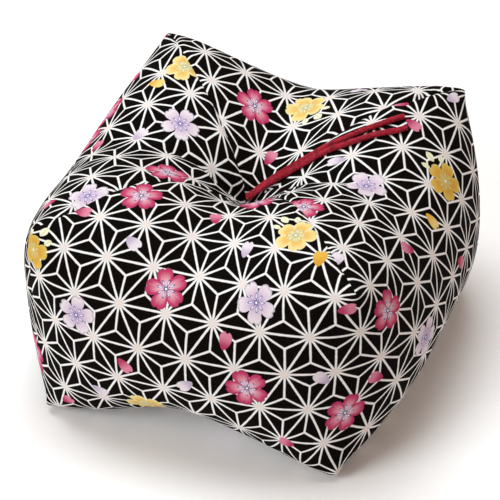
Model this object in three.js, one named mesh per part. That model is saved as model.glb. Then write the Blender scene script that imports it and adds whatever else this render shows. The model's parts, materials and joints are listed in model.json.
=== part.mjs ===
// Seiza cushion: a boxy cover of printed cotton, filled tight and tied through its middle.
// The cover is one wrap-round band. Its four sides run on over the top and the bottom as
// flaps whose mitred edges meet on the diagonals. The tie draws the middle of the top and of
// the bottom towards each other, which raises four lobes with valleys between them.
// The two ends of the tie's cord come out of the top and lie on the cushion.
// Millimetres, +Z up. The front looks along -Y. The origin is under the middle of the
// footprint, on the surface that the cushion rests on.

import * as THREE from "three";

// The cover as cut
const coverWidth = 250;
const coverDepth = 260;
const coverHeight = 160;

// The filling and the tie
const fillShare = 1.165; // volume of the filled cover, as a share of the flat-sided box
const tieLength = 36; // what the tie leaves between the middle of the top and of the bottom
const tieLean = { x: 2, y: -1 }; // the top end of the tie, against its bottom end

// The cloth as a net of cells
const cellsAcross = 24;
const cellsUp = 2 * Math.round((cellsAcross * coverHeight) / coverWidth / 2);
const shearHold = 0.03;
const bendHold = 0.03;

// The relaxation
const relaxSteps = 400;
const passesPerStep = 8;
const tieRampShare = 0.35;
const speedKept = 0.92;
const pressureStep = 0.05;
const pressureGain = 20;
const weightStep = 0.004;
const easePasses = 2;
const easeShare = 0.3;
const pressedFlat = 1.5; // how much of the bottom lobes is taken off level where they rest

// Hand settling of the filled cover, as it sits. A row moves the cloth round one place.
// across, along and up give the place on the box, from -1 to 1 and from 0 to 1.
const settleRows = [
  { place: "top back left corner", across: -1, along: 1, up: 1, x: 7, y: 0, z: 5, reach: 45 },
  { place: "left end of the top back edge", across: -0.7, along: 1, up: 1, x: -1, y: 0, z: 3.5, reach: 40 },
  { place: "top back right corner", across: 1, along: 1, up: 1, x: -6.5, y: -1, z: 3.5, reach: 45 },
  { place: "top front right corner", across: 1, along: -1, up: 1, x: -3, y: 4, z: -2, reach: 35 },
  { place: "right end of the front flap", across: 0.62, along: -0.95, up: 1, x: -5.5, y: 0, z: 0, reach: 32 },
  { place: "left half of the front flap", across: -0.4, along: -0.75, up: 1, x: 2.5, y: 0, z: 0, reach: 50 },
  { place: "middle of the front flap", across: 0.08, along: -0.36, up: 1, x: 0, y: 0, z: 4, reach: 32 },
  { place: "top front left corner", across: -1, along: -1, up: 1, x: 6, y: 3, z: 0, reach: 35 },
  { place: "front left ridge", across: -0.8, along: -0.8, up: 1, x: 2, y: 0, z: -6, reach: 35 },
  { place: "left flap", across: -0.5, along: 0.12, up: 1, x: 1.5, y: 0, z: 3, reach: 42 },
  { place: "middle of the back flap", across: 0, along: 0.55, up: 1, x: 0, y: -4, z: -9, reach: 55 },
  { place: "tie", across: 0, along: 0, up: 1, x: -12, y: 8, z: 6, reach: 15 },
  { place: "right of the tie", across: 0.34, along: -0.06, up: 1, x: 0, y: 0, z: 5.5, reach: 32 },
  { place: "front side", across: 0, along: -1, up: 0.55, x: 0, y: 0, z: 3, reach: 80 },
  { place: "left side", across: -1, along: -0.3, up: 0.4, x: 2, y: 0, z: 0, reach: 80 },
  { place: "right side", across: 1, along: 0.1, up: 0.35, x: -3, y: 0, z: 0, reach: 90 },
  { place: "bottom front left corner", across: -1, along: -1, up: 0, x: 9.5, y: -2, z: 0, reach: 45 },
  { place: "bottom front edge", across: -0.12, along: -1, up: 0, x: 0, y: 3, z: 5, reach: 40 },
  { place: "bottom front right corner", across: 1, along: -1, up: 0, x: -15, y: -10, z: 0, reach: 53 },
  { place: "bottom back right corner", across: 1, along: 1, up: 0, x: -9, y: -8, z: 0, reach: 45 },
  { place: "bottom back left corner", across: -1, along: 1, up: 0, x: 8, y: -8, z: 0, reach: 45 },
];

// The tie's cord: two strands come out of the middle of the top side by side, lie on the back
// right lobe and part towards their cut ends. The points are the middle of each strand.
const cordDiameter = 4.5;
const cordSides = 10;
const cordSteps = 20;
const cordRoutes = {
  cord_strand_left: [
    [-8, 7.6, 119.9],
    [-5.8, 8.8, 121.2],
    [-3, 11.2, 123],
    [1.5, 16, 126.5],
    [8.8, 20, 132],
    [21.3, 22.9, 142],
    [33.5, 26, 151.1],
    [44.5, 31.8, 158.2],
    [56, 38, 163.5],
    [67, 45.6, 167.5],
    [78, 54.2, 170],
    [86.5, 62.5, 171],
    [91, 66.8, 171],
  ],
  cord_strand_right: [
    [-6, 3, 121.2],
    [-4, 4.2, 122.9],
    [-1.5, 6.5, 125],
    [3.2, 11.5, 127.8],
    [10.5, 15.5, 132.7],
    [23.2, 18, 142],
    [35.3, 21.2, 151.1],
    [46.3, 26.7, 157.8],
    [58.2, 31.8, 162.6],
    [69.6, 38, 166.2],
    [77, 43, 167.8],
    [84.6, 47.4, 168.5],
    [91.8, 52.6, 168.6],
    [96.1, 57.4, 168.5],
  ],
};

// Finish
const cotton = { color: 0x1b191a, roughness: 0.85, metalness: 0 };
const redBraid = { color: 0x9a1830, roughness: 0.6, metalness: 0 };

// The net: points on the box, with the cells of its six faces as rings of four points.
function coverNet() {
  const places = [];
  const pointAt = new Map();
  const point = (i, j, k) => {
    const key = `${i},${j},${k}`;
    if (!pointAt.has(key)) {
      pointAt.set(key, places.length);
      places.push([i, j, k]);
    }
    return pointAt.get(key);
  };
  const cells = [];
  const last = cellsAcross;
  for (let i = 0; i < last; i++) {
    for (let j = 0; j < last; j++) {
      for (const k of [0, cellsUp]) {
        const ring = [point(i, j, k), point(i + 1, j, k), point(i + 1, j + 1, k), point(i, j + 1, k)];
        const falls = i + j === last - 1;
        cells.push({ ring: k ? ring : [ring[0], ring[3], ring[2], ring[1]], falls });
      }
    }
  }
  for (let k = 0; k < cellsUp; k++) {
    for (let a = 0; a < last; a++) {
      const sides = [
        [point(a, 0, k), point(a + 1, 0, k), point(a + 1, 0, k + 1), point(a, 0, k + 1)],
        [point(a + 1, last, k), point(a, last, k), point(a, last, k + 1), point(a + 1, last, k + 1)],
        [point(0, a + 1, k), point(0, a, k), point(0, a, k + 1), point(0, a + 1, k + 1)],
        [point(last, a, k), point(last, a + 1, k), point(last, a + 1, k + 1), point(last, a, k + 1)],
      ];
      for (const ring of sides) {
        cells.push({ ring, falls: false });
      }
    }
  }
  const flat = places.map(([i, j, k]) => [
    coverWidth * (i / cellsAcross - 0.5),
    coverDepth * (j / cellsAcross - 0.5),
    (coverHeight * k) / cellsUp,
  ]);
  return { flat, cells, pointAt };
}

// Each cell as two triangles. A cell on a diagonal of the top or the bottom is cut along it.
function cellTriangles(cells) {
  return cells.flatMap(({ ring, falls }) => {
    const [a, b, c, d] = ring;
    return falls ? [[a, b, d], [b, c, d]] : [[a, b, c], [a, c, d]];
  });
}

// Links hold the cloth's lengths: along the edges of the cells, across their diagonals
// (shear), and over two cells in a row (bending, which only pushes).
function coverLinks(flat, cells) {
  const links = [];
  const known = new Set();
  const span = (a, b) => Math.hypot(...flat[a].map((value, axis) => value - flat[b][axis]));
  const link = (a, b, rest, hold, pushesOnly) => {
    const key = Math.min(a, b) * flat.length + Math.max(a, b);
    if (!known.has(key)) {
      known.add(key);
      links.push({ a, b, rest, hold, pushesOnly });
    }
  };
  const beside = new Map();
  for (const { ring } of cells) {
    for (let e = 0; e < 4; e++) {
      const from = ring[e];
      const to = ring[(e + 1) % 4];
      link(from, to, span(from, to), 1, false);
      const key = Math.min(from, to) * flat.length + Math.max(from, to);
      beside.set(key, [...(beside.get(key) ?? []), { ring, e }]);
    }
    link(ring[0], ring[2], span(ring[0], ring[2]), shearHold, false);
    link(ring[1], ring[3], span(ring[1], ring[3]), shearHold, false);
  }
  for (const pair of beside.values()) {
    const [{ ring: one, e: first }, { ring: two, e: second }] = pair;
    const [from, to] = [one[first], one[(first + 1) % 4]];
    const outer = [one[(first + 3) % 4], one[(first + 2) % 4]];
    const across = [two[(second + 2) % 4], two[(second + 3) % 4]];
    link(outer[0], across[0], span(outer[0], from) + span(from, across[0]), bendHold, true);
    link(outer[1], across[1], span(outer[1], to) + span(to, across[1]), bendHold, true);
  }
  return links;
}

// The links in rounds in which no point comes twice, so that each round can act at once.
function inRounds(links, pointCount) {
  const used = Array.from({ length: pointCount }, () => new Set());
  const rounds = [];
  for (const each of links) {
    let round = 0;
    while (used[each.a].has(round) || used[each.b].has(round)) {
      round++;
    }
    used[each.a].add(round);
    used[each.b].add(round);
    (rounds[round] ??= []).push(each);
  }
  return rounds.flat();
}

// Fills the cover and draws the tie in: pressure along the normals, then the links.
function fillCover({ flat, cells, pointAt }) {
  const spots = Float64Array.from(flat.flat());
  const speed = new Float64Array(spots.length);
  const triangles = cellTriangles(cells);
  const links = inRounds(coverLinks(flat, cells), flat.length);
  const centre = cellsAcross / 2;
  const topTie = 3 * pointAt.get(`${centre},${centre},${cellsUp}`);
  const bottomTie = 3 * pointAt.get(`${centre},${centre},0`);
  const boxVolume = coverWidth * coverDepth * coverHeight;
  const cellArea = (coverWidth / cellsAcross) ** 2;
  for (let step = 0; step < relaxSteps; step++) {
    const push = new Float64Array(spots.length);
    let volume = 0;
    for (const [a, b, c] of triangles.map((t) => t.map((p) => 3 * p))) {
      const u = [spots[b] - spots[a], spots[b + 1] - spots[a + 1], spots[b + 2] - spots[a + 2]];
      const v = [spots[c] - spots[a], spots[c + 1] - spots[a + 1], spots[c + 2] - spots[a + 2]];
      const normal = [u[1] * v[2] - u[2] * v[1], u[2] * v[0] - u[0] * v[2], u[0] * v[1] - u[1] * v[0]];
      for (let axis = 0; axis < 3; axis++) {
        volume += (spots[a + axis] * normal[axis]) / 6;
        push[a + axis] += normal[axis];
        push[b + axis] += normal[axis];
        push[c + axis] += normal[axis];
      }
    }
    const lack = pressureGain * (fillShare - volume / boxVolume);
    const pressure = (THREE.MathUtils.clamp(lack, -1, 1) * pressureStep) / cellArea;
    const before = Float64Array.from(spots);
    for (let n = 0; n < spots.length; n++) {
      const weight = n % 3 === 2 ? weightStep : 0;
      spots[n] += speed[n] * speedKept + push[n] * pressure - weight;
    }
    const drawn = Math.min(1, step / (relaxSteps * tieRampShare));
    for (let pass = 0; pass < passesPerStep; pass++) {
      for (const each of links) {
        const a = 3 * each.a;
        const b = 3 * each.b;
        const dx = spots[a] - spots[b];
        const dy = spots[a + 1] - spots[b + 1];
        const dz = spots[a + 2] - spots[b + 2];
        const length = Math.sqrt(dx * dx + dy * dy + dz * dz);
        if (!each.pushesOnly || length < each.rest) {
          const share = (each.hold * 0.5 * (length - each.rest)) / length;
          spots[a] -= share * dx;
          spots[a + 1] -= share * dy;
          spots[a + 2] -= share * dz;
          spots[b] += share * dx;
          spots[b + 1] += share * dy;
          spots[b + 2] += share * dz;
        }
      }
      const tie = [tieLean.x, tieLean.y, THREE.MathUtils.lerp(coverHeight, tieLength, drawn)];
      tie.forEach((reach, axis) => {
        const middle = (spots[topTie + axis] + spots[bottomTie + axis]) / 2;
        spots[topTie + axis] = middle + reach / 2;
        spots[bottomTie + axis] = middle - reach / 2;
      });
      for (let z = 2; z < spots.length; z += 3) {
        spots[z] = Math.max(spots[z], 0);
      }
    }
    for (let n = 0; n < spots.length; n++) {
      speed[n] = spots[n] - before[n];
    }
  }
  return spots;
}

// Takes the last small crumples out: each point moves part of the way to its neighbours' mean.
function ease(spots, cells) {
  const beside = Array.from({ length: spots.length / 3 }, () => new Set());
  for (const { ring } of cells) {
    ring.forEach((point, e) => beside[point].add(ring[(e + 1) % 4]).add(ring[(e + 3) % 4]));
  }
  for (let pass = 0; pass < easePasses; pass++) {
    const before = Float64Array.from(spots);
    beside.forEach((others, point) => {
      for (let axis = 0; axis < 3; axis++) {
        const mean = [...others].reduce((sum, other) => sum + before[3 * other + axis], 0) / others.size;
        spots[3 * point + axis] = THREE.MathUtils.lerp(before[3 * point + axis], mean, easeShare);
      }
    });
  }
}

// Moves the cloth round each settled place, less with distance over the flat box.
function settle(spots, flat) {
  flat.forEach((place, n) => {
    for (const row of settleRows) {
      const away = Math.hypot(
        place[0] - (row.across * coverWidth) / 2,
        place[1] - (row.along * coverDepth) / 2,
        place[2] - row.up * coverHeight,
      );
      const share = Math.exp(-((away / row.reach) ** 2));
      spots[3 * n] += share * row.x;
      spots[3 * n + 1] += share * row.y;
      spots[3 * n + 2] += share * row.z;
    }
  });
}

// Stands the cushion on z = 0, pressed flat where it touches, with its footprint centred.
function standOnFloor(spots) {
  const box = new THREE.Box3().setFromArray(spots);
  const middle = box.getCenter(new THREE.Vector3());
  for (let n = 0; n < spots.length; n += 3) {
    spots[n] -= middle.x;
    spots[n + 1] -= middle.y;
    spots[n + 2] = Math.max(0, spots[n + 2] - pressedFlat);
  }
}

function makeCushion() {
  const net = coverNet();
  const spots = fillCover(net);
  ease(spots, net.cells);
  settle(spots, net.flat);
  standOnFloor(spots);
  const geometry = new THREE.BufferGeometry();
  geometry.setAttribute("position", new THREE.Float32BufferAttribute(spots, 3));
  geometry.setIndex(cellTriangles(net.cells).flat());
  geometry.computeVertexNormals();
  const cushion = new THREE.Mesh(geometry, new THREE.MeshStandardMaterial(cotton));
  cushion.name = "cushion";
  return cushion;
}

function makeStrand(name, route, finish) {
  const path = new THREE.CatmullRomCurve3(route.map((spot) => new THREE.Vector3(...spot)));
  const rim = Array.from({ length: cordSides }, (unused, side) => {
    const turn = (2 * Math.PI * side) / cordSides;
    return new THREE.Vector2(Math.cos(turn), Math.sin(turn)).multiplyScalar(cordDiameter / 2);
  });
  const options = { steps: cordSteps, extrudePath: path };
  const strand = new THREE.Mesh(new THREE.ExtrudeGeometry(new THREE.Shape(rim), options), finish);
  strand.name = name;
  return strand;
}

const part = new THREE.Group();
part.name = "seiza_cushion";
part.add(makeCushion());
const braid = new THREE.MeshStandardMaterial(redBraid);
for (const [name, route] of Object.entries(cordRoutes)) {
  part.add(makeStrand(name, route, braid));
}

export default part;
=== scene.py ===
import json
import math

import bpy
import numpy as np
from mathutils import Matrix, Vector

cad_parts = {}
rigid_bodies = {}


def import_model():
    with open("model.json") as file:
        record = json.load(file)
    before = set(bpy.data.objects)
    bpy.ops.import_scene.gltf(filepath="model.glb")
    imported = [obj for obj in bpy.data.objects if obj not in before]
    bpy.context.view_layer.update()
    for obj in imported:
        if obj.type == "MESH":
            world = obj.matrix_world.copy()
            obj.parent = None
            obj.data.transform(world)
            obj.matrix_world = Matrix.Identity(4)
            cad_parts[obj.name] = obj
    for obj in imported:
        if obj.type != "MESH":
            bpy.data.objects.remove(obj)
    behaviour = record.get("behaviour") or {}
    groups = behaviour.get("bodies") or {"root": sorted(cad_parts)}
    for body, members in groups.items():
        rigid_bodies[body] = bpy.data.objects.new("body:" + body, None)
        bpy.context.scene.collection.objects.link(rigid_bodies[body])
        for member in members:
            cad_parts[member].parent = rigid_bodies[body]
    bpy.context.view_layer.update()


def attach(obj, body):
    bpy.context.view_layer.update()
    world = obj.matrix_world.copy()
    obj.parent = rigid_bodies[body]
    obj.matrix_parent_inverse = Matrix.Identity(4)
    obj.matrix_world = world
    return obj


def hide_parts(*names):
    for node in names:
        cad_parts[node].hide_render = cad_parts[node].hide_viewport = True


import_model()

# Seiza cushion: a boxy cover of printed cotton, filled tight and tied through its middle with
# a red braided cord, whose two ends lie on top. Sizes are in metres unless a note says mm.

mm = 0.001
scene = bpy.context.scene


# Camera

view = {
    "turn": 21.94,  # degrees round the cushion from its front
    "tilt": 35.85,  # degrees above the floor
    "roll": -2.35,
    "distance": 1.9888,
    "aimHeight": 0.08,
    "imageSize": 500,
    "focalPixels": 2756,
    "centreShift": (5.4, -0.6),  # pixels
    "sensor": 36,
}


def makeCamera(v):
    turn, tilt, roll = (math.radians(v[name]) for name in ("turn", "tilt", "roll"))
    back = Vector((math.sin(turn) * math.cos(tilt), -math.cos(turn) * math.cos(tilt), math.sin(tilt)))
    level = Vector((math.cos(turn), math.sin(turn), 0))
    upright = back.cross(level)
    right = math.cos(roll) * level + math.sin(roll) * upright
    up = math.cos(roll) * upright - math.sin(roll) * level
    data = bpy.data.cameras.new("camera")
    data.sensor_width = v["sensor"]
    data.lens = v["focalPixels"] / v["imageSize"] * v["sensor"]
    data.shift_x = -v["centreShift"][0] / v["imageSize"]
    data.shift_y = v["centreShift"][1] / v["imageSize"]
    data.clip_end = 20
    camera = bpy.data.objects.new("camera", data)
    place = Vector((0, 0, v["aimHeight"])) + back * v["distance"]
    camera.matrix_world = Matrix.Translation(place) @ Matrix((right, up, back)).transposed().to_4x4()
    scene.collection.objects.link(camera)
    scene.camera = camera


makeCamera(view)
print("camera set")


# Node helpers

class Value:
    # a node's output, to reckon with as with a number: each step becomes a math node
    def __init__(self, socket):
        self.socket = socket
        self.tree = socket.id_data

    def __add__(self, other):
        return calc("ADD", self, other)

    def __sub__(self, other):
        return calc("SUBTRACT", self, other)

    def __rsub__(self, other):
        return calc("SUBTRACT", other, self)

    def __mul__(self, other):
        return calc("MULTIPLY", self, other)

    def __truediv__(self, other):
        return calc("DIVIDE", self, other)

    def __abs__(self):
        return calc("ABSOLUTE", self)


def feed(socket, value):
    if isinstance(value, Value):
        value.tree.links.new(value.socket, socket)
    elif value is not None:
        socket.default_value = value


def newNode(tree, kind, inputs=None, **settings):
    # inputs: a plain value or a Value for each input, by its name or number
    node = tree.nodes.new(kind)
    for name, value in settings.items():
        setattr(node, name, value)
    for name, value in (inputs or {}).items():
        feed(node.inputs[name], value)
    return node


def output(tree, kind, inputs=None, which=0, **settings):
    return Value(newNode(tree, kind, inputs, **settings).outputs[which])


def calc(operation, *values):
    tree = next(value.tree for value in values if isinstance(value, Value))
    return output(tree, "ShaderNodeMath", dict(enumerate(values)), operation=operation)


def hypotenuse(a, b):
    return calc("SQRT", a * a + b * b)


def vectorCalc(operation, inputs):
    return output(inputs[0].tree, "ShaderNodeVectorMath", inputs, operation=operation)


def split(vector):
    return [Value(part) for part in newNode(vector.tree, "ShaderNodeSeparateXYZ", {0: vector}).outputs[:2]]


def join(x, y):
    return output(x.tree, "ShaderNodeCombineXYZ", {0: x, 1: y})


def attribute(tree, name):
    return output(tree, "ShaderNodeAttribute", None, "Fac", attribute_name=name)


def soften(value, low, high):
    # 0 at low, 1 at high, smooth between
    span = {"Value": value, "From Min": low, "From Max": high}
    return output(value.tree, "ShaderNodeMapRange", span, "Result", interpolation_type="SMOOTHSTEP")


def inside(value, limit, edge):
    # 1 where value is under limit
    return 1.0 - soften(value, limit - edge, limit + edge)


def blendColour(share, first, second):
    return output(share.tree, "ShaderNodeMix", {0: share, 6: first, 7: second}, 2, data_type="RGBA")


def noise(vector, scale, detail=2.0):
    values = {"Vector": vector, "Scale": scale, "Detail": detail}
    return output(vector.tree, "ShaderNodeTexNoise", values, "Fac")


def bump(height, strength, distance, under=None):
    values = {"Height": height, "Strength": strength, "Distance": distance, "Normal": under}
    return output(height.tree, "ShaderNodeBump", values)


def addSockets(tree, direction, kind, **sockets):
    # each socket with its first value, or None
    for name, value in sockets.items():
        socket = tree.interface.new_socket(name, in_out=direction, socket_type="NodeSocket" + kind)
        if value is not None:
            socket.default_value = value


def groupInputs(tree):
    return {socket.name: Value(socket) for socket in newNode(tree, "NodeGroupInput").outputs}


def newMaterial(name, look):
    # look makes the nodes and tells what goes into the shader's inputs
    material = bpy.data.materials.new(name)
    material.use_nodes = True
    tree = material.node_tree
    for socket, value in look(tree).items():
        feed(tree.nodes["Principled BSDF"].inputs[socket], value)
    return material


def addPiece(name, data):
    piece = bpy.data.objects.new(name, data)
    scene.collection.objects.link(piece)
    return piece


# The tie's cord

cord = {
    "diameter": 0.0045,
    "yarnsEachWay": 8,
    "pitch": 0.025,  # one turn of a yarn round the cord
    "yarnThick": 0.00085,
    "lift": 0.00022,  # how far a yarn rides over and under the others
    "step": 0.00034,
    "colour": (0.61, 0.011, 0.040, 1),
    "shadeColour": (0.12, 0.002, 0.007, 1),
}
cordRoutes = {  # points in mm, from the pit to the free end
    "cord_strand_left": {
        "length": 0.131,
        "points": [
            (-8, 7.6, 119.9), (-5.8, 8.8, 121.2), (-3, 11.2, 123), (1.5, 16, 126.5), (8.8, 20, 132),
            (21.3, 22.9, 142), (33.5, 26, 151.1), (44.5, 31.8, 158.2), (56, 38, 163.5),
            (67, 45.6, 167.5), (78, 54.2, 170), (86.5, 62.5, 171), (91, 66.8, 171),
        ],
    },
    "cord_strand_right": {
        "length": 0.13,
        "points": [
            (-6, 3, 121.2), (-4, 4.2, 122.9), (-1.5, 6.5, 125), (3.2, 11.5, 127.8),
            (10.5, 15.5, 132.7), (23.2, 18, 142), (35.3, 21.2, 151.1), (46.3, 26.7, 157.8),
            (58.2, 31.8, 162.6), (69.6, 38, 166.2), (77, 43, 167.8), (84.6, 47.4, 168.5),
            (91.8, 52.6, 168.6), (96.1, 57.4, 168.5),
        ],
    },
}


def smoothPath(points, perSpan=12):
    # a centripetal curve through the points
    p = [np.array(point, float) for point in points]
    p = [2 * p[0] - p[1]] + p + [2 * p[-1] - p[-2]]
    path = []
    for a, b, c, d in zip(p, p[1:], p[2:], p[3:]):
        before, span, after = (math.sqrt(np.linalg.norm(q - s)) for q, s in ((b, a), (c, b), (d, c)))
        leave = ((b - a) / before - (c - a) / (before + span) + (c - b) / span) * span
        arrive = ((c - b) / span - (d - b) / (span + after) + (d - c) / after) * span
        for t in np.arange(perSpan) / perSpan:
            t2, t3 = t * t, t ** 3
            path.append(
                (2 * t3 - 3 * t2 + 1) * b + (t3 - 2 * t2 + t) * leave
                + (3 * t2 - 2 * t3) * c + (t3 - t2) * arrive
            )
    return np.array(path + [p[-2]])


def makeBraidTree(c):
    # yarns on left-handed and right-handed turns round the path, riding over and under in turn
    tree = bpy.data.node_groups.new("braidedCord", "GeometryNodeTree")
    addSockets(tree, "INPUT", "Geometry", path=None)
    addSockets(tree, "INPUT", "Int", yarnsEachWay=c["yarnsEachWay"])
    sizes = {name: c[name] for name in ("step", "pitch", "diameter", "yarnThick", "lift")}
    addSockets(tree, "INPUT", "Float", **sizes)
    addSockets(tree, "INPUT", "Material", material=None)
    addSockets(tree, "OUTPUT", "Geometry", cord=None)
    given = groupInputs(tree)
    yarns, thick, lift = given["yarnsEachWay"], given["yarnThick"], given["lift"]

    even = {"Curve": given["path"], "Length": given["step"]}
    path = output(tree, "GeometryNodeResampleCurve", even, "Curve", mode="LENGTH")
    copied = {"Geometry": path, "Amount": yarns * 2.0}
    copies = newNode(tree, "GeometryNodeDuplicateElements", copied, domain="SPLINE")
    number = Value(copies.outputs["Duplicate Index"])
    hand = calc("MODULO", number, 2.0) * 2.0 - 1.0
    place = calc("FLOOR", number / 2.0)

    along = output(tree, "GeometryNodeSplineParameter", None, "Length")
    turned = along / given["pitch"] * (2 * math.pi)
    angle = turned * hand + place / yarns * (2 * math.pi)
    ride = calc("COSINE", turned * yarns) * hand * lift
    middle = given["diameter"] * 0.5 - (thick * 0.5 + lift)
    radius = middle + ride

    normal = output(tree, "GeometryNodeInputNormal", None, "Normal")
    tangent = output(tree, "GeometryNodeInputTangent", None, "Tangent")
    side = vectorCalc("CROSS_PRODUCT", {0: tangent, 1: normal})
    offsets = {
        0: vectorCalc("SCALE", {0: normal, "Scale": calc("COSINE", angle) * radius}),
        1: vectorCalc("SCALE", {0: side, "Scale": calc("SINE", angle) * radius}),
    }
    moves = {"Geometry": Value(copies.outputs["Geometry"]), "Offset": vectorCalc("ADD", offsets)}
    strands = output(tree, "GeometryNodeSetPosition", moves, "Geometry")
    for name, value in (("along", along), ("yarn", number)):
        kept = {"Geometry": strands, "Name": name, "Value": value}
        settings = {"data_type": "FLOAT", "domain": "POINT"}
        strands = output(tree, "GeometryNodeStoreNamedAttribute", kept, "Geometry", **settings)

    joined = newNode(tree, "GeometryNodeJoinGeometry")
    for line, size, sides in ((strands, thick * 0.5, 5), (path, middle * 0.98, 16)):
        ring = {"Resolution": sides, "Radius": size}
        circle = output(tree, "GeometryNodeCurvePrimitiveCircle", ring, "Curve")
        tube = {"Curve": line, "Profile Curve": circle, "Fill Caps": True}
        feed(joined.inputs[0], output(tree, "GeometryNodeCurveToMesh", tube, "Mesh"))
    result = Value(joined.outputs[0])
    for step, values in (
        ("RealizeInstances", {}),
        ("SetShadeSmooth", {}),
        ("SetMaterial", {"Material": given["material"]}),
    ):
        result = output(tree, "GeometryNode" + step, {"Geometry": result, **values}, "Geometry")
    newNode(tree, "NodeGroupOutput", {"cord": result})
    return tree


def plainMesh(piece):
    # the piece's mesh with its modifiers applied; the piece is used up
    mesh = bpy.data.meshes.new_from_object(piece.evaluated_get(bpy.context.evaluated_depsgraph_get()))
    bpy.data.objects.remove(piece)
    return mesh


def runTree(source, tree, values):
    modifier = source.modifiers.new("tree", "NODES")
    modifier.node_group = tree
    for item in tree.interface.items_tree:
        if item.name in values and item.in_out == "INPUT":
            modifier[item.identifier] = values[item.name]
    return plainMesh(source)


def braidLook(tree):
    fibres = join(attribute(tree, "along") * 70.0, attribute(tree, "yarn") * 7.3)
    grain = noise(output(tree, "ShaderNodeTexCoord", None, "Object"), 2600.0)
    tone = noise(fibres, 3.0, 3.0) * 0.6 + grain * 0.4
    return {
        "Base Color": blendColour(soften(tone, 0.36, 0.62), cord["shadeColour"], cord["colour"]),
        "Normal": bump(grain, 0.35, 0.0002),
        "Roughness": 0.26,
        "Specular IOR Level": 0.55,
        "Specular Tint": (1, 0.62, 0.68, 1),
    }


def makeStrand(name, route, tree, material):
    path = smoothPath(route["points"]) * mm
    line = bpy.data.curves.new(name + "_line", "CURVE")
    line.dimensions = "3D"
    spline = line.splines.new("POLY")
    spline.points.add(len(path) - 1)
    spline.points.foreach_set("co", np.hstack([path, np.ones((len(path), 1))]).ravel())
    mesh = runTree(addPiece(name + "_line", line), tree, {**cord, "material": material})
    strand = addPiece(name, mesh)
    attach(strand, "root")
    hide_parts(name)
    print(name, len(mesh.polygons), "faces")


braidTree = makeBraidTree(cord)
braidMaterial = newMaterial("red_braid", braidLook)
for strandName, strandRoute in cordRoutes.items():
    makeStrand(strandName, strandRoute, braidTree, braidMaterial)
print("cord made")


# The cushion's cover, filled and tied (mm)

cover = {
    "width": 250.0,
    "depth": 260.0,
    "height": 160.0,
    "cellsAcross": 24,
    "cellsUp": 16,
    "fillShare": 1.165,  # filled volume, as a share of the flat-sided box
    "tieLength": 36.0,
    "tieLean": (2.0, -1.0),
    "shearHold": 0.03,
    "bendHold": 0.03,
    "steps": 400,
    "passes": 8,
    "tieRampShare": 0.35,
    "speedKept": 0.92,
    "pressureStep": 0.05,
    "pressureGain": 20.0,
    "weightStep": 0.004,
    "easePasses": 2,
    "easeShare": 0.3,
    "pressedFlat": 1.5,
}

boxSize = np.array([cover["width"], cover["depth"], cover["height"]])

# How the filled cover sits. A row moves the cloth round one place on the box:
# across, along, up; x, y, z of the move; reach
settleRows = [
    (-1, 1, 1, 7, 0, 5, 45),  # top back left corner
    (-0.7, 1, 1, -1, 0, 3.5, 40),  # left end of the top back edge
    (1, 1, 1, -6.5, -1, 3.5, 45),  # top back right corner
    (1, -1, 1, -3, 4, -2, 35),  # top front right corner
    (0.62, -0.95, 1, -5.5, 0, 0, 32),  # right end of the front flap
    (-0.4, -0.75, 1, 2.5, 0, 0, 50),  # left half of the front flap
    (0.08, -0.36, 1, 0, 0, 4, 32),  # middle of the front flap
    (-1, -1, 1, 6, 3, 0, 35),  # top front left corner
    (-0.8, -0.8, 1, 2, 0, -6, 35),  # front left ridge
    (-0.5, 0.12, 1, 1.5, 0, 3, 42),  # left flap
    (0, 0.55, 1, 0, -4, -9, 55),  # middle of the back flap
    (0, 0, 1, -12, 8, 6, 15),  # tie
    (0.34, -0.06, 1, 0, 0, 5.5, 32),  # right of the tie
    (0, -1, 0.55, 0, 0, 3, 80),  # front side
    (-1, -0.3, 0.4, 2, 0, 0, 80),  # left side
    (1, 0.1, 0.35, -3, 0, 0, 90),  # right side
    (-1, -1, 0, 9.5, -2, 0, 45),  # bottom front left corner
    (-0.12, -1, 0, 0, 3, 5, 40),  # bottom front edge
    (1, -1, 0, -15, -10, 0, 53),  # bottom front right corner
    (1, 1, 0, -9, -8, 0, 45),  # bottom back right corner
    (-1, 1, 0, 8, -8, 0, 45),  # bottom back left corner
]


class CoverNet:
    # The cover as a net of square cells on the flat-sided box, one grid of points for each face
    def __init__(self, across, up):
        self.across, self.up = across, up
        skin = np.zeros((across + 1, across + 1, up + 1), bool)
        skin[[0, -1]] = True
        skin[:, [0, -1]] = True
        skin[:, :, [0, -1]] = True
        self.ids = np.full(skin.shape, -1)
        self.ids[skin] = np.arange(skin.sum())
        self.places = np.argwhere(skin)
        self.flat = (self.places / [across, across, up] - [0.5, 0.5, 0]) * boxSize
        ids = self.ids
        self.panels = {
            "front": ids[:, 0, :],
            "right": ids[-1, :, :],
            "back": ids[::-1, -1, :],
            "left": ids[0, ::-1, :],
            "top": ids[:, :, -1],
            "bottom": ids[:, ::-1, 0],
        }
        self.rings = np.concatenate([self.cells(grid) for grid in self.panels.values()])

    @staticmethod
    def cells(grid):
        return np.stack([grid[:-1, :-1], grid[1:, :-1], grid[1:, 1:], grid[:-1, 1:]], -1).reshape(-1, 4)

    def centre(self, level):
        return self.ids[self.across // 2, self.across // 2, level]


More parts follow.
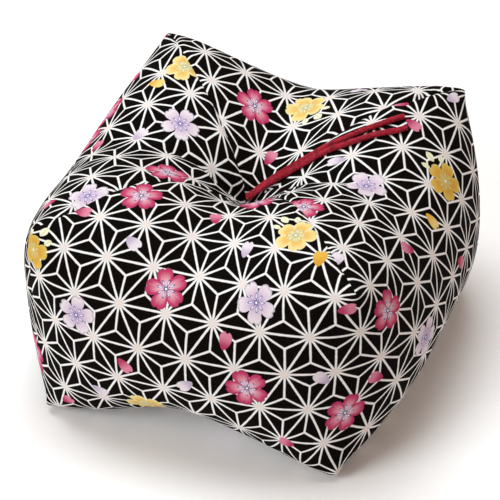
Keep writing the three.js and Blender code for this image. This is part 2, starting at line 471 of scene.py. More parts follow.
def netLinks(net, shear, bend):
    # links along the cells' edges, across their diagonals, and over two cells in a row
    links = {}

    def span(a, b):
        return float(np.linalg.norm(net.flat[a] - net.flat[b]))

    def add(a, b, rest, hold, pushesOnly):
        links.setdefault((min(a, b), max(a, b)), (a, b, rest, hold, pushesOnly))

    beside = {}
    for ring in net.rings.tolist():
        for e in range(4):
            a, b = ring[e], ring[(e + 1) % 4]
            add(a, b, span(a, b), 0.5, False)
            beside.setdefault((min(a, b), max(a, b)), []).append((ring, e))
        for a, b in ((ring[0], ring[2]), (ring[1], ring[3])):
            add(a, b, span(a, b), shear / 2, False)
    for (one, first), (two, second) in beside.values():
        start, end = one[first], one[(first + 1) % 4]
        for a, shared, b in (
            (one[(first + 3) % 4], start, two[(second + 2) % 4]),
            (one[(first + 2) % 4], end, two[(second + 3) % 4]),
        ):
            add(a, b, span(a, shared) + span(shared, b), bend / 2, True)

    # in rounds in which no point comes twice, so that a round acts at once
    used = [set() for _ in net.flat]
    rounds = []
    for link in links.values():
        turn = 0
        while turn in used[link[0]] or turn in used[link[1]]:
            turn += 1
        used[link[0]].add(turn)
        used[link[1]].add(turn)
        if turn == len(rounds):
            rounds.append([])
        rounds[turn].append(link)
    return [[np.array(column) for column in zip(*links)] for links in rounds]


def fillCover(net):
    c = cover
    rounds = netLinks(net, c["shearHold"], c["bendHold"])
    triangles = np.concatenate([net.rings[:, [0, 1, 2]], net.rings[:, [0, 2, 3]]])
    corners = triangles.ravel()
    spots = net.flat.copy()
    speed = np.zeros_like(spots)
    top, bottom = net.centre(-1), net.centre(0)
    boxVolume = c["width"] * c["depth"] * c["height"]
    cellArea = (c["width"] / net.across) ** 2
    for step in range(c["steps"]):
        p = spots[triangles]
        normals = np.cross(p[:, 1] - p[:, 0], p[:, 2] - p[:, 0])
        volume = (p[:, 0] * normals).sum() / 6
        push = np.stack(
            [np.bincount(corners, np.repeat(normals[:, axis], 3), len(spots)) for axis in range(3)], 1
        )
        lack = c["pressureGain"] * (c["fillShare"] - volume / boxVolume)
        before = spots.copy()
        spots += speed * c["speedKept"] + push * (np.clip(lack, -1, 1) * c["pressureStep"] / cellArea)
        spots[:, 2] -= c["weightStep"]
        drawn = min(1, step / (c["steps"] * c["tieRampShare"]))
        tie = np.array([*c["tieLean"], c["height"] + (c["tieLength"] - c["height"]) * drawn])
        for _ in range(c["passes"]):
            for a, b, rest, hold, pushesOnly in rounds:
                apart = spots[a] - spots[b]
                length = np.sqrt((apart * apart).sum(1))
                share = hold * (length - rest) / length
                share[pushesOnly & (length >= rest)] = 0
                apart *= share[:, None]
                spots[a] -= apart
                spots[b] += apart
            middle = (spots[top] + spots[bottom]) / 2
            spots[top] = middle + tie / 2
            spots[bottom] = middle - tie / 2
            np.maximum(spots[:, 2], 0, out=spots[:, 2])
        speed = spots - before
    return spots


def neighbourMean(net):
    # the mean of each point's neighbours, as a function of the points
    edges = np.concatenate([net.rings[:, [e, (e + 1) % 4]] for e in range(4)])
    edges = np.unique(np.concatenate([edges, edges[:, ::-1]]), axis=0)
    count = np.bincount(edges[:, 0], minlength=len(net.flat))[:, None]

    def mean(values):
        sums = [np.bincount(edges[:, 0], values[edges[:, 1], axis], len(values)) for axis in range(3)]
        return np.stack(sums, 1) / count

    return mean


def settle(spots, flat):
    moved = spots.copy()
    for across, along, up, x, y, z, reach in settleRows:
        away = np.linalg.norm(flat - boxSize * [across / 2, along / 2, up], axis=1)
        moved += np.exp(-(away / reach) ** 2)[:, None] * [x, y, z]
    return moved


def standOnFloor(spots):
    middle = (spots.min(0) + spots.max(0)) / 2
    spots = spots - [middle[0], middle[1], cover["pressedFlat"]]
    spots[:, 2] = np.maximum(spots[:, 2], 0)
    return spots


def filledForm():
    net = CoverNet(cover["cellsAcross"], cover["cellsUp"])
    spots = fillCover(net)
    mean = neighbourMean(net)
    for _ in range(cover["easePasses"]):
        spots = spots + (mean(spots) - spots) * cover["easeShare"]
    return net, standOnFloor(settle(spots, net.flat))


coarseNet, coarseSpots = filledForm()
print("cover filled, box", (coarseSpots.max(0) - coarseSpots.min(0)).round(1), "mm")


# The same form on a finer net

fine = {
    "smoothLevels": 2,
    "cellsAcross": 72,
    "cellsUp": 48,
}


def meshFromNet(name, net, spots, faces=None):
    mesh = bpy.data.meshes.new(name)
    mesh.from_pydata((spots * mm).tolist(), [], net.rings.tolist() if faces is None else faces)
    places = mesh.attributes.new("cutPlace", "FLOAT_VECTOR", "POINT")
    places.data.foreach_set("vector", net.flat.ravel())
    return addPiece(name, mesh)


def subdivided(piece, levels):
    modifier = piece.modifiers.new("finer", "SUBSURF")
    modifier.levels = modifier.render_levels = levels
    return plainMesh(piece)


def readPoints(mesh):
    points = np.empty(len(mesh.vertices) * 3)
    mesh.vertices.foreach_get("co", points)
    places = np.empty(len(mesh.vertices) * 3)
    mesh.attributes["cutPlace"].data.foreach_get("vector", places)
    return points.reshape(-1, 3), places.reshape(-1, 3)


def refine(net, spots, finer):
    # smooth the coarse form, then read it off at the finer net's places
    mesh = subdivided(meshFromNet("coarse", net, spots), fine["smoothLevels"])
    points, places = readPoints(mesh)
    cellParts = 2 ** fine["smoothLevels"]
    counts = np.array([net.across, net.across, net.up]) * cellParts
    keys = np.rint((places / boxSize + [0.5, 0.5, 0]) * counts).astype(int)
    lattice = np.full((*(counts + 1), 3), np.nan)
    lattice[keys[:, 0], keys[:, 1], keys[:, 2]] = points / mm
    bpy.data.meshes.remove(mesh)
    where = finer.places / [finer.across, finer.across, finer.up] * counts
    low = np.minimum(where.astype(int), counts - 1)
    share = where - low
    # a point on a face of the box stays in that face's layer
    total = np.zeros((len(where), 3))
    for corner in np.ndindex(2, 2, 2):
        weight = np.prod(np.where(corner, share, 1 - share), axis=1)
        spot = np.nan_to_num(lattice[tuple((low + corner).T)])
        total += weight[:, None] * spot
    return total


fineNet = CoverNet(fine["cellsAcross"], fine["cellsUp"])
fineSpots = refine(coarseNet, coarseSpots, fineNet)
print("finer net,", len(fineSpots), "points")


# Small folds that the tie and the filling draw into the cloth, by Blender's Cloth

gathers = {
    "frames": 18,
    "pressure": 12.0,
    "stretch": 40.0,
    "shear": 5.0,
    "bend": 0.01,
    "damping": 0.5,
    "mass": 0.08,
    "quality": 6,
    "heldRound": 8.0,  # mm round each end of the tie
    "floorHold": 0.3,  # how firmly the points on the floor are held
    "widePasses": 12,  # what is wider than this smoothing stays as it was
    "softPasses": 2,
    "gain": 0.9,
    "most": 4.0,  # mm
}


def gatherCloth(net, spots):
    g = gathers
    piece = meshFromNet("cloth", net, spots)
    piece.shape_key_add(name="filled")
    cut = piece.shape_key_add(name="cut")
    cut.data.foreach_set("co", (net.flat * mm).ravel())
    cut.value = 0
    held = piece.vertex_groups.new(name="held")
    ends = np.array([[0, 0, cover["height"]], [0, 0, 0]])
    away = np.linalg.norm(net.flat[:, None] - ends[None], axis=2).min(1)
    held.add(np.flatnonzero(away < g["heldRound"]).tolist(), 1.0, "REPLACE")
    onFloor = (spots[:, 2] < 0.5) & (away >= g["heldRound"])
    held.add(np.flatnonzero(onFloor).tolist(), g["floorHold"], "REPLACE")

    cloth = piece.modifiers.new("Cloth", "CLOTH")
    kind = cloth.settings
    kind.quality = g["quality"]
    kind.mass = g["mass"]
    kind.tension_stiffness = kind.compression_stiffness = g["stretch"]
    kind.shear_stiffness = g["shear"]
    kind.bending_stiffness = g["bend"]
    kind.tension_damping = kind.compression_damping = kind.shear_damping = g["damping"]
    kind.use_pressure = True
    kind.uniform_pressure_force = g["pressure"]
    kind.vertex_group_mass = "held"
    kind.pin_stiffness = 1.0
    kind.rest_shape_key = cut
    kind.effector_weights.gravity = 0
    cloth.collision_settings.use_collision = False
    cloth.point_cache.frame_start = 1
    cloth.point_cache.frame_end = g["frames"]
    for number in range(1, g["frames"] + 1):
        scene.frame_set(number)
    seen = piece.evaluated_get(bpy.context.evaluated_depsgraph_get())
    points = np.empty(len(spots) * 3)
    seen.data.vertices.foreach_get("co", points)
    bpy.data.objects.remove(piece)
    scene.frame_set(1)

    moved = points.reshape(-1, 3) / mm - spots
    mean = neighbourMean(net)
    wide = moved
    for _ in range(g["widePasses"]):
        wide = (wide + mean(wide)) / 2
    folds = (moved - wide) * g["gain"]
    for _ in range(g["softPasses"]):
        folds = (folds + mean(folds)) / 2
    size = np.linalg.norm(folds, axis=1, keepdims=True)
    folds *= np.minimum(1, g["most"] / np.maximum(size, 1e-9))
    print("gathers up to", round(float(size.max()), 2), "mm")
    return spots + folds


fineSpots = gatherCloth(fineNet, fineSpots)
fineSpots[:, 2] = np.maximum(fineSpots[:, 2], 0)


# Where the cloth lies in the printed band, and the print's own marks (mm)

printed = {
    "repeat": 34.2,  # between two nodes of the hemp leaf pattern
    "across": 201.2,  # a node of the pattern on the band, from the front left edge
    "up": 153.1,
    "backShift": -17.0,  # how far the print of the back and left flaps is out of step
}


def clothCoordinates(flat, flap, level):
    # U runs round the band from the front left edge, V up over the side and on over the flap
    width, depth, height = cover["width"], cover["depth"], cover["height"]
    x, y, z = flat.T
    U, inward = {
        "front": (x + width / 2, y + depth / 2),
        "right": (width + y + depth / 2, width / 2 - x),
        "back": (width + depth + width / 2 - x, depth / 2 - y),
        "left": (2 * width + depth + depth / 2 - y, x + width / 2),
    }[flap]
    V = {"side": z, "top": height + inward, "bottom": -inward}[level]
    return np.stack([U, V], 1)


def coverFaces(net):
    # faces of the cover with the band's coordinates at each corner; a cell that a mitre seam
    # crosses is two triangles, one for each flap
    faces, corners, panels = [], [], []
    n = net.across
    size = np.array([cover["width"], cover["depth"], 1])

    def add(face, flap, level):
        faces.append(face)
        corners.append(clothCoordinates(net.flat[face], flap, level))
        panels.append(("front", "right", "back", "left").index(flap))

    for flap in ("front", "right", "back", "left"):
        for ring in net.cells(net.panels[flap]).tolist():
            add(ring, flap, "side")
    for level in ("top", "bottom"):
        for ring in net.cells(net.panels[level]).tolist():
            middle = net.flat[ring].mean(0) / size
            a, b = round(middle[0] * n * 2), round(middle[1] * n * 2)
            pieces = [ring]
            if abs(a) == abs(b):
                # the seam joins the two corners that lie on the box's diagonal
                across, along = np.abs(net.flat[ring[0]][:2]) / size[:2]
                k = 0 if abs(across - along) < 1e-6 else 1
                ring = ring[k:] + ring[:k]
                pieces = [ring[:3], [ring[0], ring[2], ring[3]]]
            for piece in pieces:
                x, y = (net.flat[piece].mean(0) / size)[:2]
                if abs(y) > abs(x):
                    flap = "front" if y < 0 else "back"
                else:
                    flap = "right" if x > 0 else "left"
                add(piece, flap, level)
    return faces, corners, panels


faces, corners, panels = coverFaces(fineNet)
print("faces", len(faces))


def storeMap(mesh, name, values):
    layer = mesh.uv_layers.new(name=name)
    layer.data.foreach_set("uv", np.ascontiguousarray(values, dtype=np.float32).ravel())


def makeCover():
    piece = meshFromNet("cover", fineNet, fineSpots, faces)
    band = np.concatenate(corners) * mm
    storeMap(piece.data, "cloth", band)
    panel = piece.data.attributes.new("panel", "INT", "FACE")
    panel.data.foreach_set("value", np.array(panels, dtype=np.int32))
    mesh = subdivided(piece, 1)
    mesh.polygons.foreach_set("use_smooth", [True] * len(mesh.polygons))
    return mesh


coverMesh = makeCover()
print("cover", len(coverMesh.polygons), "faces")


# Seams, creases and the cloth's rest against the cord, worked into the points (mm)

work = {
    "seed": 5,
    "seamDepth": 0.9,
    "seamWidth": 1.3,
    "seamFade": (10, 26, 14, 2),  # starts, is full; ends to fade before the corner, is gone
    "shoulder": 0.35,
    "shoulderAway": 4.5,
    "shoulderWidth": 2.2,
    "pucker": 0.4,
    "puckerWave": 8.0,
    "puckerReach": 5.0,
    "creaseBend": 1.6,
    "bendFade": (12, 40),
    "creaseFade": (6, 12, 45),  # before and after a crease starts, and before it ends
    "lips": 0.22,  # share of the crease's depth
    "lipsAway": 2.6,  # in widths of the crease
    "lipsWidth": 1.3,
    "unevenness": 0.3,
    "cordRoom": 0.3,
    "pitDepth": 6.0,
    "pitReach": 7.5,
    "cornerOut": 4.0,
    "cornerReach": 9.0,
}
wanderWaves = {"depth": 14.0, "phase": 21.0, "strength": 26.0, "bend": 24.0, "crease": 17.0}  # mm
# creases along the flaps' mid-lines: flap's direction, depth, half width, where it starts and ends
creaseRows = [
    ((-1, 0), 5.0, 4.0, 10, 112),
    ((0, 1), 1.3, 3.0, 10, 100),
    ((0, -1), 1.2, 3.0, 10, 62),
    ((1, 0), 3.4, 3.0, 24, 108),
    ((0.693, 0.721), 3.0, 4.0, 122, 186),
]


def wander(random, along, wave, length=220.0):
    # a smooth random line between -1 and 1
    knots = np.arange(0, length, wanderWaves[wave])
    values = random.uniform(-1, 1, len(knots))
    share = np.maximum(along, 0) / wanderWaves[wave]
    low = np.clip(share.astype(int), 0, len(knots) - 2)
    t = ramp(share - low, 0, 1)
    return values[low] * (1 - t) + values[low + 1] * t


def ramp(values, low, high):
    t = np.clip((values - low) / (high - low), 0, 1)
    return t * t * (3 - 2 * t)


def workSeams(places, random):
    # how far each point comes out (mm)
    w = work
    uneven = w["unevenness"]
    start, full, ending, gone = w["seamFade"]
    lift = np.zeros(len(places))
    across, along = cover["width"] / 2, cover["depth"] / 2
    run = math.hypot(across, along)
    past = 8  # mm that a seam's work reaches over the middle
    for level in (0.0, cover["height"]):
        onFace = np.abs(places[:, 2] - level) < 0.01
        for sx, sy in ((-1, -1), (1, -1), (1, 1), (-1, 1)):
            x, y = places[:, 0] * sx, places[:, 1] * sy
            mine = onFace & (x > -past) & (y > -past)
            off = (x[mine] * along - y[mine] * across) / run
            away = (x[mine] * across + y[mine] * along) / run
            depth = w["seamDepth"] * (1 + uneven * wander(random, away, "depth"))
            groove = depth * np.exp(-(off / w["seamWidth"]) ** 2)
            ridge = (np.abs(off) - w["shoulderAway"]) / w["shoulderWidth"]
            shoulder = w["shoulder"] * np.exp(-ridge ** 2)
            phase = 2 * math.pi * (away / w["puckerWave"] + uneven * wander(random, away, "phase"))
            strength = 0.5 + 0.5 * wander(random, away, "strength")
            pucker = w["pucker"] * strength * np.sin(phase) * np.exp(-(off / w["puckerReach"]) ** 2)
            fade = ramp(away, start, full) * (1 - ramp(away, run - ending, run - gone))
            lift[mine] += (shoulder - groove + pucker) * fade
    return lift


def workCreases(places, random):
    w = work
    early, late, ending = w["creaseFade"]
    lift = np.zeros(len(places))
    top = places[:, 2] > cover["height"] - 0.01
    for (dx, dy), depth, width, first, last in creaseRows:
        away = places[:, 0] * dx + places[:, 1] * dy
        bend = w["creaseBend"] * wander(random, away, "bend") * ramp(away, *w["bendFade"])
        off = np.abs(places[:, 1] * dx - places[:, 0] * dy - bend)
        fade = ramp(away, first - early, first + late) * (1 - ramp(away, last - ending, last))
        fade = fade * (1 + w["unevenness"] * wander(random, away, "crease"))
        groove = -depth * np.exp(-off / width)
        lip = (off - w["lipsAway"] * width) / (w["lipsWidth"] * width)
        lips = w["lips"] * depth * np.exp(-lip ** 2)
        lift += np.where(top, (groove + lips) * fade, 0)
    return lift


def clearOfCords(points):
    # the cloth gives way under the cord
    room = cord["diameter"] / 2 / mm + work["cordRoom"]
    for route in cordRoutes.values():
        path = smoothPath(route["points"])
        near = np.flatnonzero((points >= path.min(0) - 6).all(1) & (points <= path.max(0) + 6).all(1))
        apart = points[near][:, None] - path[None]
        distance = np.linalg.norm(apart, axis=2)
        closest = distance.argmin(1)
        rows = np.arange(len(near))
        d = distance[rows, closest]
        push = np.maximum(room - d, 0)[:, None] * apart[rows, closest] / np.maximum(d, 1e-6)[:, None]
        points[near] += push
    return points


def finishCloth(mesh):
    random = np.random.default_rng(work["seed"])
    points, places = readPoints(mesh)
    normals = np.empty(len(points) * 3)
    mesh.vertex_normals.foreach_get("vector", normals)
    lift = workSeams(places, random) + workCreases(places, random)
    points = points / mm + normals.reshape(-1, 3) * lift[:, None]
    # the hole that the tie draws in
    fromTie = np.linalg.norm(places - [0, 0, cover["height"]], axis=1)
    points[:, 2] -= work["pitDepth"] * np.exp(-(fromTie / work["pitReach"]) ** 2)
    # the eight corners are poked out square
    for corner in np.ndindex(2, 2, 2):
        near = np.linalg.norm(places - (np.array(corner) - [0.5, 0.5, 0]) * boxSize, axis=1)
        outward = points[near.argmin()] * [1, 1, 0]
        reach = np.exp(-(near / work["cornerReach"]) ** 2)
        points += reach[:, None] * outward / np.linalg.norm(outward) * work["cornerOut"]
    points = clearOfCords(points)
    points[:, 2] = np.maximum(points[:, 2], 0)
    mesh.vertices.foreach_set("co", (points * mm).ravel())
    mesh.update()


finishCloth(coverMesh)
print("seams and creases worked in")


# Blossoms and loose petals of the print, by kind: U and V of the middle on the band (mm), turn of
# the first petal, or of a loose petal's broad end, from the band's run (degrees)

marks = {
    "bloomRadius": 15.0,
    "petalRadius": 7.0,
    "seed": 11,
    "bloomsMore": 34,  # on the sides and the bottom that the photo doesn't show
    "petalsMore": 40,
    "bloomGap": 54.0,
    "petalGap": 25.0,
}
bloomKinds = ("pink", "lavender", "yellow", "gold", "yellow with leaves", "gold with leaves")
bloomRows = {
    "yellow": [
        (808, 199, 8), (96, 32, 40),
    ],
    "lavender": [
        (865, 211, 15), (978, 190, 50), (180.5, 142.5, 51), (50, 106.5, 14), (319.3, 79.5, 54),
        (378.6, 189.6, 46),
    ],
    "pink": [
        (661.5, 209.5, 6), (929, 227.5, -6), (67.5, 208, 28), (321, 223, 1), (112, 140, 38),
        (1011, 43, 20), (175.7, 79.5, 43), (278, 128, -3), (246.4, 56.5, 1), (867, 129, 20),
        (841, 140, 50), (146, 239, 54),
    ],
    "yellow with leaves": [
        (626, 192.5, 12), (194, 196.5, 12),
    ],
    "gold with leaves": [
        (3.6, 141, -55), (420, 143.5, -57),
    ],
}
petalKinds = ("pink", "lavender", "yellow", "gold")
petalRows = {
    "yellow": [
        (827.7, 183, 80), (380.7, 136.7, -100),
    ],
    "lavender": [
        (881.5, 184, 150), (79, 166.6, -30), (274, 182, 0), (161.8, 179, 90), (132, 71.5, -140),
        (64, 43.7, -30), (226.3, 89.8, 140), (400.8, 221.7, 100), (492.2, 164, -30),
        (592, 174.4, 0),
    ],
    "pink": [
        (636.6, 241.8, -110), (32.8, 185.3, 0), (124, 206.7, 110), (160, 113, 80), (88, 76.9, -50),
        (26.8, 19.4, 30), (243.9, 144.7, 10), (266.8, 77.7, 150), (205, 32.4, 165), (391, 93, -40),
        (333.9, 144.5, 130), (447.5, 183.6, 250), (466, 200.5, 90),
    ],
    "gold": [
        (218.3, 180.6, 100),
    ],
}


def strewMore(rows, kinds, count, gap, others, random):
    # more marks where the photo doesn't show the cloth: the back and left sides and the bottom
    around = 2 * (cover["width"] + cover["depth"])
    placed = [row[1:3] for row in rows + others]
    added = []
    for _ in range(count * 40):
        U, V = random.uniform(0, around), random.uniform(-cover["depth"] / 2, cover["height"])
        shown = V > 0 and U < cover["width"] + cover["depth"]
        near = min(math.hypot((U - a + around / 2) % around - around / 2, V - b) for a, b in placed)
        if shown or near < gap or len(added) == count:
            continue
        kind = kinds[int(random.choice(len(kinds), p=(0.45, 0.35, 0.2)))]
        added.append((kind, float(U), float(V), float(random.uniform(0, 360))))
        placed.append((U, V))
    return added


def listRows(byKind):
    return [(kind, *row) for kind, rows in byKind.items() for row in rows]


bloomRows, petalRows = listRows(bloomRows), listRows(petalRows)
random = np.random.default_rng(marks["seed"])
threeKinds = ("pink", "lavender", "yellow")
bloomRows += strewMore(bloomRows, threeKinds, marks["bloomsMore"], marks["bloomGap"], petalRows, random)
petalRows += strewMore(petalRows, threeKinds, marks["petalsMore"], marks["petalGap"], bloomRows, random)


def readBand(mesh):
    # the cloth's coordinates at each face corner (mm), each face's first corner and its count
    band = np.empty(len(mesh.loops) * 2, dtype=np.float32)
    mesh.uv_layers["cloth"].data.foreach_get("uv", band)
    count = len(mesh.polygons)
    starts, totals = np.empty(count, int), np.empty(count, int)
    mesh.polygons.foreach_get("loop_start", starts)
    mesh.polygons.foreach_get("loop_total", totals)
    return band.reshape(-1, 2) / mm, starts, totals


def printMarks(mesh, name, rows, kinds, radius, reach):
    # each face takes the coordinates of the mark that is nearest on the band, which runs round
    around = 2 * (cover["width"] + cover["depth"])
    rows = [(kind, U + turn * around, V, angle) for turn in (-1, 0, 1) for kind, U, V, angle in rows]
    band, starts, totals = readBand(mesh)
    middles = np.add.reduceat(band, starts) / totals[:, None]
    places = np.array([row[1:3] for row in rows], float)
    away = np.full(len(middles), np.inf)
    nearest = np.zeros(len(middles), int)
    for index, place in enumerate(places):
        this = np.linalg.norm(middles - place, axis=1)
        closer = this < away
        away[closer] = this[closer]
        nearest[closer] = index
    near = away < reach * radius
    kindOf = np.array([kinds.index(row[0]) for row in rows])
    layer = mesh.attributes.new(name + "Kind", "FLOAT", "FACE")
    layer.data.foreach_set("value", np.where(near, kindOf[nearest], -1).astype(np.float32))
    turns = np.radians([row[3] for row in rows])[nearest]
    owner = np.repeat(np.arange(len(starts)), totals)
    local = (band - places[nearest][owner]) / radius
    cos, sin = np.cos(turns)[owner], np.sin(turns)[owner]
    turned = np.stack([local[:, 0] * cos + local[:, 1] * sin, local[:, 1] * cos - local[:, 0] * sin], 1)
    storeMap(mesh, name, turned)


def shiftPrint(mesh):
    # the pattern's own coordinates: the back and left flaps were cut out of step with the front
    band, starts, totals = readBand(mesh)
    panel = np.empty(len(mesh.polygons), np.int32)
    mesh.attributes["panel"].data.foreach_get("value", panel)
    behind = np.repeat(panel >= 2, totals)
    band[:, 0] += np.where(behind, printed["backShift"], 0) - printed["across"]
    band[:, 1] -= printed["up"]
    storeMap(mesh, "print", band / printed["repeat"])


printMarks(coverMesh, "bloom", bloomRows, bloomKinds, marks["bloomRadius"], 1.7)
printMarks(coverMesh, "petal", petalRows, petalKinds, marks["petalRadius"], 1.3)
shiftPrint(coverMesh)
print("print laid out")


# Printed cotton

inks = {
    "black": (0.0020, 0.0012, 0.0009, 1),
    "blackLight": (0.0068, 0.0051, 0.0042, 1),
    "white": (0.86, 0.85, 0.84, 1),
    "node": (0.77, 0.71, 0.67, 1),
    "lineWidth": 0.0228,  # half of a line, in repeats
    "blobRadius": 0.074,
    "thread": 0.00042,
}
blossom = {  # of a blossom of radius 1
    "nickWidth": 0.16,
    "streak": 0.35,
    "middle": (0.22, 0.60),  # where each colour starts and is full, as shares of the petal's length
    "edge": (0.52, 0.92),
    "rim": (0.88, 1.0),
    "stamens": 8,
    "stamenAway": 0.29,
    "stamenHalf": 0.16,
    "stamenWide": 0.048,
    "dot": 0.115,
    "dotLight": 0.06,
}
petalShape = ("base", "fullness", "roundness", "notch")
petalColours = ("centre", "middle", "edge", "rim", "line", "stamen")
bloomInks = {
    "pink": {
        "petal": (0.54, 2.7, 0.75, 0.08),  # as in petalShape
        "parted": 0.75,  # how far out the lines between the petals run
        "sideTint": 0.25,
        "centre": (0.78, 0.54, 0.64, 1),
        "middle": (0.68, 0.25, 0.32, 1),
        "edge": (0.51, 0.045, 0.14, 1),
        "rim": (0.37, 0.04, 0.105, 1),
        "line": (0.055, 0.055, 0.20, 1),
        "stamen": (0.80, 0.74, 0.84, 1),
    },
    "lavender": {
        "petal": (0.38, 2.9, 0.8, 0.08),
        "parted": 0.6,
        "sideTint": -0.40,
        "centre": (0.54, 0.42, 0.59, 1),
        "middle": (0.69, 0.58, 0.68, 1),
        "edge": (0.78, 0.71, 0.75, 1),
        "rim": (0.47, 0.40, 0.50, 1),
        "line": (0.12, 0.10, 0.32, 1),
        "stamen": (0.82, 0.78, 0.88, 1),
    },
    "yellow": {
        "petal": (0.56, 3.0, 0.7, 0.07),
        "parted": 0.6,
        "sideTint": 0.15,
        "centre": (0.68, 0.63, 0.31, 1),
        "middle": (0.79, 0.48, 0.12, 1),
        "edge": (0.82, 0.68, 0.28, 1),
        "rim": (0.80, 0.71, 0.38, 1),
        "line": (0.40, 0.42, 0.24, 1),
        "stamen": (0.84, 0.80, 0.52, 1),
    },
    "gold": {
        "petal": (0.50, 3.0, 0.75, 0.07),
        "parted": 0.95,
        "sideTint": 0.15,
        "centre": (0.60, 0.45, 0.13, 1),
        "middle": (0.65, 0.35, 0.05, 1),
        "edge": (0.70, 0.46, 0.085, 1),
        "rim": (0.68, 0.56, 0.18, 1),
        "line": (0.60, 0.52, 0.20, 1),
        "stamen": (0.62, 0.52, 0.22, 1),
    },
}
leafInks = {
    "blades": ((97, 1.14, 0.24, 0.16), (123, 1.38, 0.32, 0.19), (150, 1.22, 0.26, 0.13)),
    "blade": (0.84, 0.84, 0.60, 1),
    "rib": (0.52, 0.56, 0.34, 1),
}
petalInks = {
    "pink": ((0.68, 0.23, 0.33, 1), (0.45, 0.04, 0.12, 1)),
    "lavender": ((0.76, 0.69, 0.75, 1), (0.50, 0.41, 0.55, 1)),
    "yellow": ((0.82, 0.63, 0.21, 1), (0.76, 0.41, 0.06, 1)),
    "gold": ((0.76, 0.45, 0.07, 1), (0.64, 0.33, 0.04, 1)),
}


def folded(angle, count):
    # the angle from the nearest of count equal directions, signed
    part = calc("FRACT", angle * (count / (2 * math.pi)) + 0.5) - 0.5
    return part * (2 * math.pi / count)


def makeHempLeaf():
    # twelve rays from each node of a lattice of equal triangles, one repeat apart
    tree = bpy.data.node_groups.new("hempLeaf", "ShaderNodeTree")
    addSockets(tree, "INPUT", "Vector", vector=None)
    addSockets(tree, "INPUT", "Float", lineWidth=0.04, blob=0.115)
    addSockets(tree, "OUTPUT", "Float", lines=None, nodes=None)
    given = groupInputs(tree)
    blob = given["blob"]
    x, y = split(given["vector"])
    rows = math.sqrt(3)
    up = y / rows
    nearest = []
    for shift in (0.5, 0.0):
        a = calc("FRACT", x + shift) - 0.5
        b = (calc("FRACT", up + shift) - 0.5) * rows
        nearest.append((a, b, hypotenuse(a, b)))
    (a1, b1, r1), (a2, b2, r2) = nearest
    first = calc("LESS_THAN", r1, r2)
    second = 1.0 - first
    a = a1 * first + a2 * second
    b = b1 * first + b2 * second
    radius = calc("MINIMUM", r1, r2)
    off = radius * calc("SINE", abs(folded(calc("ARCTAN2", b, a), 12)))
    edge = 0.006
    rays, heart = (inside(part, 0.0, edge) for part in (off - given["lineWidth"], radius - blob))
    shade = 1.0 - soften(radius, blob, blob * 1.5)
    newNode(tree, "NodeGroupOutput", {"lines": calc("MAXIMUM", rays, heart), "nodes": shade})
    return tree


def makeBlossom():
    # a five-petalled blossom of radius 1 with notched petals and a ring of stamens
    tree = bpy.data.node_groups.new("blossom", "ShaderNodeTree")
    addSockets(tree, "INPUT", "Vector", vector=None)
    addSockets(tree, "INPUT", "Float", **dict.fromkeys((*petalShape, "sideTint", "parted"), 0.5))
    addSockets(tree, "INPUT", "Color", **dict.fromkeys(petalColours))
    addSockets(tree, "OUTPUT", "Color", colour=None)
    addSockets(tree, "OUTPUT", "Float", mask=None)
    given = groupInputs(tree)
    x, y = split(given["vector"])
    radius, angle = hypotenuse(x, y), calc("ARCTAN2", y, x)

    # the petals' rim: its distance from the heart, from a petal's middle (0) to its side (1)
    ray = abs(folded(angle, 5))
    side = calc("MINIMUM", ray / (math.pi / 5), 1.0)
    swell = calc("POWER", 1.0 - calc("POWER", side, given["fullness"]), given["roundness"])
    nick = calc("MAXIMUM", 1.0 - side / blossom["nickWidth"], 0.0)
    rim = given["base"] + (1.0 - given["base"]) * swell - given["notch"] * nick
    mask = inside(radius - rim, 0.0, 0.025)

    # colour from the heart out, in fine rays
    outward = radius / rim
    streak = (noise(join(angle * 9.0, radius * 1.5), 1.0) - 0.5) * blossom["streak"]
    spread = outward + side * given["sideTint"] * calc("POWER", side, 1.5) + streak
    colour = given["centre"]
    for distance, name in ((spread, "middle"), (spread, "edge"), (outward, "rim")):
        colour = blendColour(soften(distance, *blossom[name]), colour, given[name])

    # lines between the petals
    gap = radius * calc("SINE", math.pi / 5 - ray)
    between = inside(gap, 0.012, 0.016) * inside(outward - given["parted"], 0.0, 0.12)
    colour = blendColour(between * 0.8, colour, given["line"])

    # stamens: small drops with a drawn outline, round a dot
    turned = folded(angle, blossom["stamens"])
    a = (radius * calc("COSINE", turned) - blossom["stamenAway"]) / blossom["stamenHalf"]
    b = radius * calc("SINE", turned) / (a * 0.018 + blossom["stamenWide"])
    oval = hypotenuse(a, b)
    colour = blendColour(inside(oval, 1.05, 0.14) * 0.9, colour, given["line"])
    colour = blendColour(inside(oval, 0.66, 0.16), colour, given["stamen"])
    colour = blendColour(inside(radius, blossom["dot"], 0.02), colour, given["line"])
    colour = blendColour(inside(radius, blossom["dotLight"], 0.02), colour, (0.9, 0.9, 0.9, 1))
    newNode(tree, "NodeGroupOutput", {"colour": colour, "mask": mask})
    return tree


def addLeaves(bloom, leafy, colour):
    x, y = split(bloom)
    for turn, middle, half, wide in leafInks["blades"]:
        c, s = math.cos(math.radians(turn)), math.sin(math.radians(turn))
        along = x * c + y * s
        across = abs(y * c - x * s)
        t = (along - middle) / half
        blade = inside(across - (1.0 - t * t) * wide, 0.0, 0.015)
        tint = blendColour(inside(across, 0.012, 0.01), leafInks["blade"], leafInks["rib"])
        colour = blendColour(blade * leafy, colour, tint)
    return colour


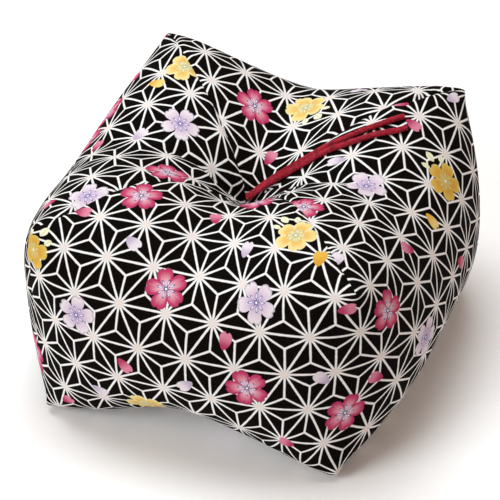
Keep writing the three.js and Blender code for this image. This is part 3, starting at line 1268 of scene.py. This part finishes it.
def cottonLook(tree):
    band, pattern, petal, bloom = (
        output(tree, "ShaderNodeUVMap", uv_map=name) for name in ("cloth", "print", "petal", "bloom")
    )

    # threads of a plain weave
    across, along = (calc("SINE", axis * (math.pi / inks["thread"])) for axis in split(band))
    weave = across * along
    soil = noise(band, 900.0, 3.0)
    wide = noise(band, 45.0, 3.0)

    # hemp leaf lines, a little uneven as printed
    uneven = (noise(band, 260.0) - 0.5) * 0.012
    sizes = {"vector": pattern, "lineWidth": uneven + inks["lineWidth"], "blob": uneven + inks["blobRadius"]}
    leaf = newNode(tree, "ShaderNodeGroup", sizes, node_tree=makeHempLeaf())
    ground = blendColour(soften(soil, 0.35, 0.7), inks["black"], inks["blackLight"])
    white = blendColour(Value(leaf.outputs["nodes"]), inks["white"], inks["node"])
    colour = blendColour(Value(leaf.outputs["lines"]), ground, white)

    # loose petals, pointed where they grew and notched at the broad end
    px, py = split(petal)
    oval = hypotenuse(px, py / (px * 0.22 + 0.62))
    nick = px - 0.74 - abs(py) * 0.9
    shape = inside(oval, 0.98, 0.05) * inside(nick, 0.0, 0.04)
    kind = attribute(tree, "petalKind")
    for index, name in enumerate(petalKinds):
        tip, root = petalInks[name]
        this = calc("COMPARE", kind, float(index), 0.1)
        tint = blendColour(soften(px, -0.7, 0.5), root, tip)
        colour = blendColour(shape * this, colour, tint)

    # blossoms
    kind = attribute(tree, "bloomKind")
    colour = addLeaves(bloom, calc("GREATER_THAN", kind, 3.5), colour)
    blossomTree = makeBlossom()
    for index, look in enumerate(bloomInks.values()):
        values = {"vector": bloom, **dict(zip(petalShape, look["petal"]))}
        values.update({name: look[name] for name in ("sideTint", "parted", *petalColours)})
        flower = newNode(tree, "ShaderNodeGroup", values, node_tree=blossomTree)
        this = calc("COMPARE", kind, float(index), 0.1)
        if index > 1:
            this = calc("MAXIMUM", this, calc("COMPARE", kind, index + 2.0, 0.1))
        shown = Value(flower.outputs["mask"]) * this
        colour = blendColour(shown, colour, Value(flower.outputs["colour"]))

    tone = wide * 0.12 + 0.88 + weave * 0.035 + noise(band, 1300.0, 1.0) * 0.10
    threads = bump(weave + soil * 0.8, 0.35, 0.00012)
    return {
        "Base Color": vectorCalc("SCALE", {0: colour, "Scale": tone}),
        "Normal": bump(wide, 0.5, 0.0012, threads),
        "Roughness": 0.88,
        "Specular IOR Level": 0.03,
    }


coverMesh.materials.clear()
coverMesh.materials.append(newMaterial("printed_cotton", cottonLook))
coverMesh.name = "cushion_cover"
cushion = addPiece("cushion_cover", coverMesh)
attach(cushion, "root")
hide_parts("cushion")
print("cushion made")


# Floor and light

studio = {
    "floorSize": 8.0,
    "floorColour": (0.97, 0.97, 0.965, 1),
    "floorGlow": 0.08,
    "sky": (1.0, 0.64, 0.45, 1),
    "skyStrength": 0.29,
    "lamps": {
        "front": {"place": (-1.4, -1.9, 1.3), "size": 1.4, "power": 34, "colour": (0.89, 0.97, 1.01)},
        "top": {"place": (-0.25, 0.3, 2.3), "size": 1.6, "power": 49, "colour": (0.89, 0.97, 1.01)},
    },
}


def makeFloor(s):
    half = s["floorSize"] / 2
    mesh = bpy.data.meshes.new("floor")
    corners = [(-half, -half, 0), (half, -half, 0), (half, half, 0), (-half, half, 0)]
    mesh.from_pydata(corners, [], [(0, 1, 2, 3)])
    paper = {
        "Base Color": s["floorColour"],
        "Roughness": 0.95,
        "Specular IOR Level": 0.1,
        "Emission Color": (1, 1, 1, 1),
        "Emission Strength": s["floorGlow"],
    }
    mesh.materials.append(newMaterial("floor", lambda tree: paper))
    addPiece("floor", mesh)


def makeLights(s):
    world = bpy.data.worlds.new("studio")
    world.use_nodes = True
    sky = world.node_tree.nodes["Background"]
    sky.inputs["Color"].default_value = s["sky"]
    sky.inputs["Strength"].default_value = s["skyStrength"]
    scene.world = world
    for name, lamp in s["lamps"].items():
        data = bpy.data.lights.new(name, "AREA")
        data.size = lamp["size"]
        data.energy = lamp["power"]
        data.color = lamp["colour"]
        light = addPiece(name, data)
        light.location = lamp["place"]
        light.rotation_euler = (Vector((0, 0, 0.08)) - light.location).to_track_quat("-Z", "Y").to_euler()


makeFloor(studio)
makeLights(studio)
scene.view_settings.view_transform = "Standard"
print("stage set")
